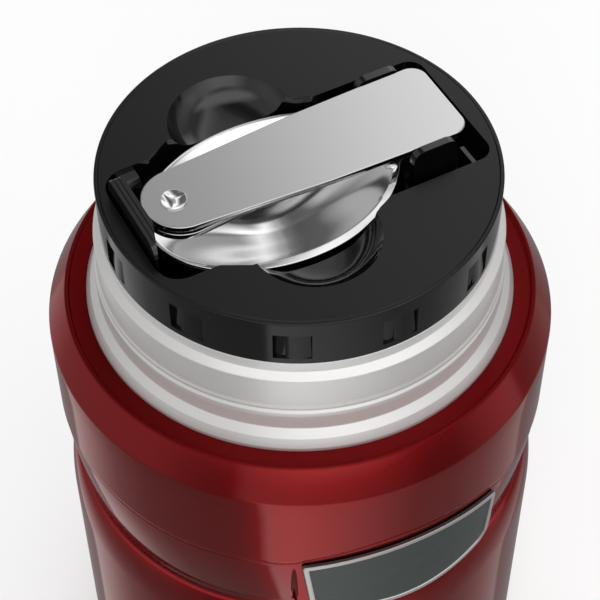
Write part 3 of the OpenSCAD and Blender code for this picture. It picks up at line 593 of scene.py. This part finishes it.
def grip_windows():
    """Cutters around the skirt: each is a block hollowed by a leaning drum, with a deeper slot along one
    side. The slot stays clear of the block's own planes, as a clean cut needs."""
    tree, size, values = mesh_tree("grip_windows", {
        "Skirt radius": disc_r, "Middle": -5.85, "Thickness": 4.0, "Width": 6.5, "Height": 5.9, "Depth": 0.26,
        "Drum radius": 9.0, "Drum length": 20.0, "Drum shift": 0.6, "Slot width": 2.0, "Slot height": 5.8,
        "Slot depth": 0.45}, {"Windows": 12.0, "Drum lean": math.radians(-4.5), "Slot aside": 0.49})
    count = add(tree, "FunctionNodeFloatToInt", {0: size["Windows"]})
    row = add(tree, "GeometryNodeCurvePrimitiveCircle", {"Resolution": count, "Radius": size["Skirt radius"]})
    row = add(tree, "GeometryNodeCurveToPoints", {"Curve": row}, mode="EVALUATED")
    block = add(tree, "GeometryNodeMeshCube", {"Size": (size["Thickness"], size["Width"], size["Height"])})
    drum = add(tree, "GeometryNodeMeshCylinder", {
        "Vertices": 96, "Radius": size["Drum radius"], "Depth": size["Drum length"]})
    reach = add(tree, "ShaderNodeMath", {0: size["Drum radius"], 1: size["Depth"]}, "ADD")
    reach = add(tree, "ShaderNodeMath", {0: reach, 1: -1.0}, "MULTIPLY")
    drum = add(tree, "GeometryNodeTransform", {
        "Geometry": drum, "Rotation": (0, size["Drum lean"], 0),
        "Translation": (reach, size["Drum shift"], 0)})
    block = add(tree, "GeometryNodeMeshBoolean", {"Mesh 1": block, "Mesh 2": drum}, "DIFFERENCE")
    thick = add(tree, "ShaderNodeMath", {0: size["Slot depth"], 1: 2.0}, "MULTIPLY")
    slot = add(tree, "GeometryNodeMeshCube", {"Size": (thick, size["Slot width"], size["Slot height"])})
    aside = add(tree, "ShaderNodeMath", {0: size["Slot width"], 1: size["Width"]}, "SUBTRACT")
    aside = add(tree, "ShaderNodeMath", {0: aside, 1: size["Slot aside"]}, "MULTIPLY")
    slot = add(tree, "GeometryNodeTransform", {"Geometry": slot, "Translation": (0, aside, 0)})
    # A union takes all its solids by one input.
    block = add(tree, "GeometryNodeMeshBoolean", {"Mesh 2": block}, "UNION")
    add(tree, block, {"Mesh 2": slot})
    block = add(tree, "GeometryNodeTransform", {"Geometry": block, "Translation": (0, 0, size["Middle"])})
    step = add(tree, "ShaderNodeMath", {0: 2 * math.pi, 1: size["Windows"]}, "DIVIDE")
    turn = add(tree, "ShaderNodeMath", {0: add(tree, "GeometryNodeInputIndex"), 1: step}, "MULTIPLY")
    row = add(tree, "GeometryNodeInstanceOnPoints", {
        "Points": row, "Instance": block, "Rotation": (0, 0, turn)})
    return grown(tree, row, values)


def polish(piece, width, segments=2, angle=32, flat=0.4):
    """Merges faces that are flat to within this angle, rounds the sharp edges and evens the shading."""
    shape = bmesh.new()
    shape.from_mesh(piece.data)
    bmesh.ops.remove_doubles(shape, verts=shape.verts, dist=2e-6)
    bmesh.ops.dissolve_limit(shape, angle_limit=math.radians(flat), verts=shape.verts, edges=shape.edges)
    shape.to_mesh(piece.data)
    shape.free()
    bevel = piece.modifiers.new("bevel", "BEVEL")
    bevel.width, bevel.segments, bevel.limit_method = width * MM, segments, "ANGLE"
    bevel.angle_limit, bevel.miter_outer = math.radians(angle), "MITER_ARC"
    piece.modifiers.new("even", "WEIGHTED_NORMAL").keep_sharp = True
    return applied(piece)


def onto_stopper(piece, x=0):
    """Shifts a piece along the spoon, and turns and lifts it from the stopper's own frame to the jar's."""
    piece.data.transform(Matrix.Translation((x * MM, 0, 0)))
    piece.data.transform(Matrix.Translation((0, 0, stop_z * MM)) @ Matrix.Rotation(stop_turn, 4, "Z"))
    return piece


lip_in = disc_r - 0.6
cap = revolve("stopper_cap", soften([
    (0, -2), (cavity_r, -2, 0.5), (cavity_r, weld_z), (lip_in, weld_z), (lip_in, skirt_z),
    (disc_r, skirt_z, 0.25), (disc_r, 0, 0.5), (disc_r - 0.62, 0), (disc_r - 0.76, -0.14),
    (disc_r - 0.9, 0), (0, 0)], 18), 288)
body, *others = hollows(cap_wall, weld_z, -1)
for other in others:
    combine(body, other)
inside_r = cavity_r + 0.1
combine(body, revolve("cavity", [(0, -36), (inside_r, -36), (inside_r, -1.5), (0, -1.5)], 288), "INTERSECT")
combine(cap, body)
for hollow in hollows(0, -recess_depth, 1):
    combine(cap, hollow, "DIFFERENCE")
combine(cap, grip_windows(), "DIFFERENCE")

root_z, snap_top, arm_x0, arm_x1 = -8.1, 3.9, -31.6, -29.6
arm = upright("snap_arm", [(-9.2, root_z), (9.6, root_z)] + arc(8.2, snap_top - 1.4, 1.4, 0, 90, 6)
              + arc(-6.2, snap_top - 3.0, 3.0, 90, 180, 8), arm_x0, arm_x1)
hook_z = snap_top - 0.5
combine(arm, upright("snap_hook", [(-4.0, hook_z), (9.0, hook_z), (8.2, snap_top), (-4.0, snap_top)],
                     arm_x1 - 0.1, arm_x1 + 0.45))
groove_z = snap_top - 0.28
for x in (-31.05, -30.2):
    combine(arm, upright("snap_groove", [(-12, groove_z), (12, groove_z), (12, 5), (-12, 5)], x, x + 0.3),
            "DIFFERENCE")
combine(arm, prism("snap_end", [(-28.8, -14), (-28.8, -3.0), (-29.3, -3.6), (-31.2, -9.6), (-31.2, -14)],
                   -8.2, 5), "DIFFERENCE")
combine(cap, arm)
tab_path = [(16.7, root_z), (25.4, root_z)] + arc(23.4, 1.9, 2, 0, 90, 8) + arc(18.7, 1.9, 2, 90, 180, 8)
for y0 in (-10.75, 9.35):
    tab = prism("side_tab", tab_path, y0, y0 + 1.4)
    tab.data.transform(Matrix(((1, 0, 0, 0), (0, 0, 1, 0), (0, 1, 0, 0), (0, 0, 0, 1))))
    tab.data.flip_normals()
    combine(cap, tab)
combine(cap, prism("rib", [(28.4, -13.9), (29.2, -13.9), (29.2, -7.1), (28.4, -7.1)], root_z, -3.1))
combine(cap, upright("ledge", [(13.9, root_z), (10.6, root_z), (10.2, -1.9), (11.4, -0.7), (13.9, -0.7)],
                     -28.6, -25.2))
cap.data.shade_smooth()
cap.data.set_sharp_from_angle(angle=math.radians(60))
onto_stopper(polish(cap, 0.4, 3))

# ABS, moulded in a tool with a spark-eroded top and polished recesses: satin black above, glossier inside.
abs_black, tree, shader, spot = finish("moulded_black_abs", "#0a0a0b", {"IOR": 1.45})
flat_xy = add(tree, "ShaderNodeVectorMath", {0: spot, 1: (1, 1, 0)}, "MULTIPLY")
from_axis = add(tree, "ShaderNodeVectorMath", {0: flat_xy}, "LENGTH").outputs["Value"]
gloss_r = 33.2
gloss = add(tree, "ShaderNodeMapRange", {
    "Value": from_axis, "From Min": (gloss_r + 0.3) * MM, "From Max": gloss_r * MM, "To Min": 0.5,
    "To Max": 0.85})
up = add(tree, "ShaderNodeSeparateXYZ", {0: spot}).outputs["Z"]
top_face = add(tree, "ShaderNodeMath", {0: up, 1: stop_z * MM, 2: 0.00003}, "COMPARE")
texture = add(tree, "ShaderNodeTexNoise", {"Vector": spot, "Scale": 3500.0, "Detail": 2.0})
add(tree, shader, {"Specular IOR Level": add(tree, "ShaderNodeMapRange", {
    "Value": top_face, "To Min": gloss, "To Max": 0.42})})
vary(tree, shader, top_face, rough=(0.1, 0.3))
vary(tree, shader, texture, bump=(0.03, 0.05))
place(cap, abs_black, "stopper", "black_plastic", "stopper_cap")

# ---------------- plug and gasket
# A threaded sleeve is welded under the cap and closed with a disc. A foam puck inside it keeps the heat in,
# and a silicone ring seals the mouth.

plug_z, plug_r, plug_top = stop_z - 36, 32, stop_z - 9.2
plug_sleeve = revolve("plug_sleeve", [
    (30.5, plug_top), (plug_r, plug_top), (plug_r, plug_z + 2), (30.5, plug_z + 2)], 192)
plug_disc = revolve("plug_disc", soften([
    (0, plug_z), (plug_r, plug_z, 0.8), (plug_r, plug_z + 2), (30.45, plug_z + 2), (30.45, plug_z + 3.5),
    (0, plug_z + 3.5)], 15), 192)

# Polypropylene, moulded: a dull, even black.
plug_black = patterned("moulded_black_polypropylene", "#2a2a2b", {"IOR": 1.49}, {"Scale": 300.0},
                       rough=(0.3, 0.42))
plug_thread = thread_row("plug_thread", 31.7, 33.2, 114.25, plug_black)
place(plug_thread, plug_black, "stopper", "plug_plastic")
place(plug_sleeve, plug_black, "stopper", "plug_plastic", "stopper_plug")
place(plug_disc, plug_black, "stopper", "plug_plastic", "plug_bottom")

# Expanded foam: off-white beads pressed together.
beads = patterned("expanded_foam_beads", None, {"Roughness": 0.9}, {"Scale": 420.0}, "ShaderNodeTexVoronoi",
                  colours=("#f2efe6", "#d9d5c8"), bump=(0.5, 0.3))
dress(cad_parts["stopper_foam"], beads)

seat = stop_z - 9.25
gasket = revolve("seal_ring", soften([
    (32.05, seat), (34.6, seat, 0.2), (34.6, seat - 1.2, 0.3), (33.2, seat - 1.2), (33.2, seat - 4.1, 0.3),
    (32.8, seat - 4.7, 0.2), (32.05, seat - 4.7)], 15), 192)

# Silicone rubber: soft grey and dull, with a little light inside it.
rubber = patterned("moulded_grey_silicone", "#8d8f90", {
    "Roughness": 0.55, "Subsurface Weight": 0.1, "Subsurface Scale": 0.001},
    {"Scale": 1500.0}, bump=(0.15, 0.05))
place(gasket, rubber, "gasket", "silicone", "stopper_gasket")

# ---------------- spoon bowl
# The bowl is pressed deep from stainless sheet, with a short neck that carries the first rivet, and is mirror
# polished. Its rim is rounded and rises towards the neck.

bowl_wall, bowl_depth, rim_z, rim_rise, heel_x, tip_x = 0.9, 9.5, -4.0, 3.2, 24.0, -23.8


def pressed_bowl():
    """The underside of the bowl: an oval dish with a flared lip, worked out for each point of a grid."""
    tree, size, values = mesh_tree("spoon_bowl", {
        "Half length": bowl_a, "Half width": bowl_b, "Depth": bowl_depth, "Rim rise": rim_rise,
        "Rim height": rim_z, "Middle": bowl_x, "Flange drop": 0.35},
        {"Lip share": 0.2, "Flange least": 0.012, "Flange growth": 0.038, "Flange turn": 1.3})
    value = dict(size.items())
    grid = add(tree, "GeometryNodeMeshGrid", {
        "Size X": 1.0, "Size Y": 1.0, "Vertices X": 101, "Vertices Y": 181})
    spot = add(tree, "ShaderNodeSeparateXYZ", {0: add(tree, "GeometryNodeInputPosition")}).outputs
    # The grid's outermost row makes the flange and the others the dish.
    for name, axis, start, end, most in (("inner", "X", -0.5, 0.49, 1.0), ("outer", "X", 0.49, 0.5, 1.0),
                                         ("turn", "Y", -0.5, 0.5, 2 * math.pi)):
        value[name] = add(tree, "ShaderNodeMapRange", {
            "Value": spot[axis], "From Min": start, "From Max": end, "To Max": most})
    section = value["section"] = add(tree, "ShaderNodeMix", {0: value["Lip share"]})
    # Each row works out one value from others: its name, what it does and its terms.
    for name, how, *terms in (
            ("ahead", "COSINE", "turn"), ("aside", "SINE", "turn"),
            # The flange is widest along the near side of the spoon and fades out around its ends.
            ("toward", "ADD", "turn", "Flange turn"), ("toward", "COSINE", "toward"),
            ("toward", "MAXIMUM", "toward", 0.0), ("toward", "POWER", "toward", 2.0),
            ("width", "MULTIPLY_ADD", "toward", "Flange growth", "Flange least"),
            ("drop", "MULTIPLY", "toward", "Flange drop"), ("drop", "MULTIPLY", "drop", "outer"),
            ("share", "SUBTRACT", 1.0, "width"), ("share", "MULTIPLY", "share", "inner"),
            ("share", "MULTIPLY_ADD", "width", "outer", "share"),
            # Two waves make the section: one that is steep at the rim and one that is level there.
            ("steep", "MULTIPLY", "inner", math.pi / 2), ("steep", "COSINE", "steep"),
            ("level", "POWER", "steep", 2.0),
            ("fall", "MULTIPLY_ADD", "section", "Depth", "drop"),
            # The rim rises towards the neck.
            ("toe", "MAXIMUM", "ahead", 0.0), ("toe", "POWER", "toe", 3.0),
            ("rise", "POWER", "share", 4.0), ("rise", "MULTIPLY", "rise", "toe"),
            ("height", "SUBTRACT", "Rim height", "fall"),
            ("height", "MULTIPLY_ADD", "rise", "Rim rise", "height"),
            ("x", "MULTIPLY", "share", "ahead"), ("x", "MULTIPLY_ADD", "x", "Half length", "Middle"),
            ("y", "MULTIPLY", "share", "aside"), ("y", "MULTIPLY", "y", "Half width")):
        terms = {i: value.get(term, term) for i, term in enumerate(terms)}
        value[name] = add(tree, "ShaderNodeMath", terms, how)
    add(tree, section, {2: value["steep"], 3: value["level"]})
    sheet = add(tree, "GeometryNodeSetPosition", {
        "Geometry": grid, "Position": (value["x"], value["y"], value["height"])})
    sheet = add(tree, "GeometryNodeMergeByDistance", {"Geometry": sheet, "Distance": 1e-6})
    return grown(tree, sheet, values)


bowl = pressed_bowl()
if sum(p.normal.z for p in bowl.data.polygons) > 0:
    bowl.data.flip_normals()
wall = bowl.modifiers.new("wall", "SOLIDIFY")
wall.thickness, wall.offset, wall.use_even_offset = bowl_wall * MM, -1, True
onto_stopper(polish(applied(bowl), 0.22, 3, 50, 0.001))


def flat_plate(name, outline, z0, z1, holes=(), rounding=0.15):
    """A plate of the spoon, cut from sheet, with tumbled edges and round holes."""
    curve = bpy.data.curves.new(name, "CURVE")
    curve.dimensions, curve.fill_mode, curve.bevel_resolution = "2D", "BOTH", 3
    curve.extrude = ((z1 - z0) / 2 - rounding) * MM
    curve.bevel_depth, curve.offset = rounding * MM, -rounding * MM
    for loop in [outline] + [arc(cx, 0, r, 0, 354, 59) for cx, r in holes]:
        spline = curve.splines.new("POLY")
        spline.points.add(len(loop) - 1)
        spline.points.foreach_set("co", [c for x, y in loop for c in (x * MM, y * MM, 0, 1)])
        spline.use_cyclic_u = True
    holder = stand(name, curve)
    mesh = evaluated(holder)
    bpy.data.objects.remove(holder)
    mesh.transform(Matrix.Translation((0, 0, (z0 + z1) / 2 * MM)))
    piece = closed(name, mesh, 40)
    shape = bmesh.new()
    shape.from_mesh(piece.data)
    for edge in shape.edges:
        flat = [abs(face.normal.z) > 0.999 for face in edge.link_faces]
        edge.smooth = edge.smooth and all(flat) == any(flat)
    shape.to_mesh(piece.data)
    shape.free()
    return onto_stopper(piece)


neck_path = [(heel_x + 5, 0)] + arc(heel_x, 0, 5, 4, 90, 14) + [
    (19, 5.2), (17.8, 5.8), (16.5, 6.7), (15.4, 7.3), (14.5, 7.5), (13.5, 7)]
neck = flat_plate("spoon_neck", both_sides(neck_path), -1.4, -0.2, [(heel_x, 1.5)])

# Mirror-polished stainless steel: almost white where it sees a lamp and black where it sees the stopper.
mirror, tree, shader, spot = finish("mirror_polished_stainless", "#efefef", {"Metallic": 1.0})
wipe = add(tree, "ShaderNodeTexNoise", {"Vector": spot, "Scale": 60.0, "Detail": 3.0})
wave = add(tree, "ShaderNodeTexNoise", {"Vector": spot, "Scale": 130.0, "Detail": 0.0})
vary(tree, shader, wipe, rough=(0.1, 0.16))
vary(tree, shader, wave, bump=(0.05, 0.3))
place(bowl, mirror, "spoon_bowl", "spoon_steel", "spoon_bowl")
place(neck, mirror, "spoon_bowl", "spoon_steel")

# ---------------- spoon link and handle
# Two plates are stamped from stainless sheet and tumbled, so that their edges are round. The link swivels on
# the bowl's neck and the handle on the link, and they fold into a stack. The handle's face is satin finished
# and left bare.

tip = arc(-29.3 + 6.9, 0, 6.9, 90, 176, 16)
link_path = arc(heel_x, 0, 5, 4, 90, 12) + [(-9.9, 6.0)] + tip
handle_path = arc(26.1, 6.1, 3, 0, 90, 12) + [(16.8, 9.0), (2.0, 8.6)] + tip
link = flat_plate("spoon_link_plate", both_sides(link_path), 0.4, 1.6, [(heel_x, 1.55), (tip_x, 1.5)])
handle = flat_plate("spoon_handle_plate", both_sides(handle_path), 2.2, 3.4, [(tip_x, 1.55)], 0.2)

# Satin-brushed stainless steel: lines run along the spoon and blur what they mirror into a soft gradient.
brushed = patterned("brushed_stainless_handle", "#d6d6d6", {"Metallic": 1.0}, {"Scale": 1.0, "Detail": 3.0},
                    mapping={"Rotation": (0, 0, -stop_turn), "Scale": (60, 4000, 4000)},
                    rough=(0.11, 0.15), bump=(0.02, 0.01))
place(link, brushed, "spoon_link", "spoon_steel", "spoon_link")
place(handle, brushed, "spoon_handle", "spoon_steel", "spoon_handle")

# ---------------- rivets
# Each swivel is a steel rivet through two plates and a washer. The visible head is spun over with a tool that
# leaves three dimples around its middle.


def rivet(name, x, z0):
    """A rivet with a flat head below and a spun, dimpled head above."""
    shank_r, low_r, head_r, dimpled_r, top = 1.5, 2.25, 2.3, 2.1, z0 + 3.05
    crown = top + 0.34
    rows = soften([(0, z0 - 0.5), (low_r, z0 - 0.5, 0.2), (low_r, z0, 0.05), (shank_r, z0), (shank_r, top),
                   (head_r, top, 0.05), (head_r, crown, 0.15)])
    rows += [(r, crown) for r in np.linspace(dimpled_r, 0.0, 16)]
    outlines = []
    for a in np.arange(120) * 2 * math.pi / 120:
        dimple = 0.28 * abs(math.cos(1.5 * (a + 1.07))) ** 0.5
        outlines.append([(r, z - dimple * math.sin(math.pi * r / dimpled_r))
                         if r < dimpled_r + 0.01 and z > top else (r, z) for r, z in rows])
    return onto_stopper(revolve(name, outlines, 120, 20), x)


# Spun stainless: bright, with faint marks of the tool.
bright = patterned("spun_stainless_rivet", "#f2f2f2", {"Metallic": 1.0}, {"Scale": 1800.0},
                   rough=(0.08, 0.15))
place(rivet("link_rivet_spun", heel_x, -1.4), bright, "spoon_bowl", "rivet_steel", "link_rivet")
place(rivet("handle_rivet_spun", tip_x, 0.4), bright, "spoon_link", "rivet_steel", "handle_rivet")
for name, x, z0, body_name, node in (("link_washer_ring", heel_x, -0.2, "spoon_bowl", "link_washer"),
                                     ("handle_washer_ring", tip_x, 1.6, "spoon_link", "handle_washer")):
    z1 = z0 + 0.55
    washer = revolve(name, soften([(1.55, z0), (3.0, z0, 0.1), (3.0, z1, 0.1), (1.55, z1)]), 64)
    place(onto_stopper(washer, x), bright, body_name, "rivet_steel", node)

# ---------------- studio
# The jar stands on a white floor in a tent of soft panels: a bright one behind the camera, dim ones beside
# it, bright strips at both sides, and a broad one overhead that grows brighter to the right.

floor_mesh = bpy.data.meshes.new("floor")
floor_mesh.from_pydata([(-3, -3, 0), (3, -3, 0), (3, 3, 0), (-3, 3, 0)], [], [[0, 1, 2, 3]])
floor = stand("floor", floor_mesh)

# White paper. Gloss looks through it to the panels, and half of its white is its own, which softens shadows.
paper = bpy.data.materials.new("white_floor_paper")
paper.use_nodes = True
tree = paper.node_tree
tree.nodes.clear()
path = add(tree, "ShaderNodeLightPath").outputs
matt = add(tree, "ShaderNodeBsdfDiffuse", {"Color": (0.9, 0.9, 0.9, 1)})
own = add(tree, "ShaderNodeEmission", {"Color": (1, 1, 1, 1), "Strength": 1.0})
clear = add(tree, "ShaderNodeBsdfTransparent")
look = add(tree, "ShaderNodeMixShader", {0: 0.5, 1: matt, 2: own})
look = add(tree, "ShaderNodeMixShader", {0: path["Is Camera Ray"], 1: matt, 2: look})
look = add(tree, "ShaderNodeMixShader", {0: path["Is Glossy Ray"], 1: look, 2: clear})
add(tree, "ShaderNodeOutputMaterial", {0: look})
floor_mesh.materials.append(paper)

world = bpy.data.worlds.new("soft_panels")
scene.world = world
world.use_nodes = True
tree = world.node_tree
tree.nodes.clear()
heading = add(tree, "ShaderNodeTexCoord").outputs["Generated"]
turned = add(tree, "ShaderNodeVectorRotate", {"Vector": heading, "Angle": math.radians(114.5)},
             rotation_type="Z_AXIS")
part = add(tree, "ShaderNodeSeparateXYZ", {0: turned}).outputs
around = add(tree, "ShaderNodeMath", {0: part["Y"], 1: part["X"]}, operation="ARCTAN2")
around = add(tree, "ShaderNodeMapRange", {"Value": around, "From Min": -math.pi, "From Max": math.pi})
across = add(tree, "ShaderNodeMapRange", {
    "Value": add(tree, "ShaderNodeSeparateXYZ", {0: heading}), "From Min": -1.0})

# Each row of panels is a ramp of brightness. Three go around the jar, from its back by its right side to the
# front and on by the left side, in degrees, and the overhead one goes across it from left to right.
rows = {}
for name, place_along, span, levels in (
        ("low", around, 360, {
            -180: 0.3, -150: 0.25, -138: 0.25, -135: 0.72, -121: 0.6, -100: 0.31, -79: 0.21, -45: 0.19,
            -21: 0.2, -17: 0.85, 0: 0.78, 23: 0.58, 56: 0.25, 79: 0.23, 100: 0.32, 126: 0.52, 129: 0.25,
            152: 0.25, 180: 0.3}),
        ("middle", around, 360, {
            -180: 0.9, -150: 0.6, -130: 0.55, -110: 0.36, -58: 0.35, -42: 0.22, -26: 0.12, -20: 0.46, 0: 0.42,
            17: 0.33, 34: 0.22, 45: 0.12, 60: 0.12, 74: 0.34, 92: 0.55, 95: 0.17, 124: 0.34, 155: 0.6,
            180: 0.9}),
        ("high", around, 360, {
            -180: 1.1, -171: 0.5, -163: 0.14, -138: 0.12, -116: 0.5, -84: 0.6, -61: 0.66, -27: 0.54,
            -18: 0.77, -9: 1.05, 0: 1.35, 27: 1.4, 45: 1.15, 61: 0.95, 84: 0.92, 92: 0.72, 120: 0.5,
            138: 0.35, 150: 1.0, 160: 1.4, 172: 1.4, 180: 1.1}),
        ("overhead", across, 2, {
            -0.4: 0.5, -0.2: 0.12, 0.0: 0.1, 0.15: 0.22, 0.185: 0.42, 0.235: 0.44, 0.36: 0.98, 0.41: 1.1,
            0.46: 0.8, 0.56: 0.35})):
    ramp = add(tree, "ShaderNodeValToRGB", {0: place_along})
    stops = ramp.color_ramp.elements
    for i, (stand_at, level) in enumerate(levels.items()):
        stop = stops[i] if i < 2 else stops.new(1.0)
        stop.position = 0.5 + stand_at / span
        stop.color = (level, level, level, 1)
    rows[name] = ramp

light = rows["low"]
for name, start, end in (("middle", -0.7, -0.2), ("high", 0.08, 0.3), ("overhead", 0.52, 0.66)):
    climb = add(tree, "ShaderNodeMapRange", {"Value": part["Z"], "From Min": start, "From Max": end})
    light = add(tree, "ShaderNodeMix", {0: climb, 6: light, 7: rows[name]}, data_type="RGBA").outputs[2]
# A bright sheet hangs overhead, from the middle to the front and a little to the right.
climb = add(tree, "ShaderNodeMapRange", {"Value": part["Z"], "From Min": 0.6, "From Max": 0.75})
near = add(tree, "ShaderNodeMath", {0: part["Y"], 1: 0.4, 2: part["X"]}, "MULTIPLY_ADD")
near = add(tree, "ShaderNodeMapRange", {"Value": near, "From Min": 0.05, "From Max": 0.35})
sheet = add(tree, "ShaderNodeMath", {0: climb, 1: near}, "MULTIPLY")
sheet_light = (1.42, 1.42, 1.42, 1)
light = add(tree, "ShaderNodeMix", {0: sheet, 6: light, 7: sheet_light}, data_type="RGBA").outputs[2]
tent = add(tree, "ShaderNodeBackground", {"Color": light})
white = add(tree, "ShaderNodeBackground", {"Color": (1, 1, 1, 1)})
path = add(tree, "ShaderNodeLightPath").outputs
sky = add(tree, "ShaderNodeMixShader", {0: path["Is Camera Ray"], 1: tent, 2: white})
add(tree, "ShaderNodeOutputWorld", {0: sky})

for name, spot, size, power in (("overhead_lamp", (0.2, 0.25, 0.9), 0.6, 3.0),
                                ("front_lamp", (-0.5, -0.8, 0.7), 0.5, 2.8)):
    lamp = bpy.data.lights.new(name, "AREA")
    lamp.shape, lamp.size, lamp.energy = "DISK", size, power
    holder = stand(name, lamp)
    holder.location = spot
    holder.visible_glossy = False
    holder.rotation_euler = (Vector((0, 0, 0.08)) - Vector(spot)).to_track_quat("-Z", "Y").to_euler()

# ---------------- camera
# A long lens looks down at the stopper from the front left.

pitch, roll = math.radians(50.41), math.radians(-0.447)
ahead_x, ahead_y = 0.4147, 0.910
look = Vector((ahead_x * math.cos(pitch), ahead_y * math.cos(pitch), -math.sin(pitch)))
right = Vector((ahead_y, -ahead_x, 0)).normalized()
up = right.cross(look)
right, up = right * math.cos(roll) + up * math.sin(roll), up * math.cos(roll) - right * math.sin(roll)
lens = bpy.data.cameras.new("camera")
lens.lens, lens.sensor_width, lens.clip_start = 108.44, 36, 0.01
camera = stand("camera", lens)
camera.matrix_world = (Matrix.Translation((-0.0900, -0.1975, 0.3619))
                       @ Matrix((right, up, -look)).transposed().to_4x4())
scene.camera = camera
scene.view_settings.view_transform = "Standard"
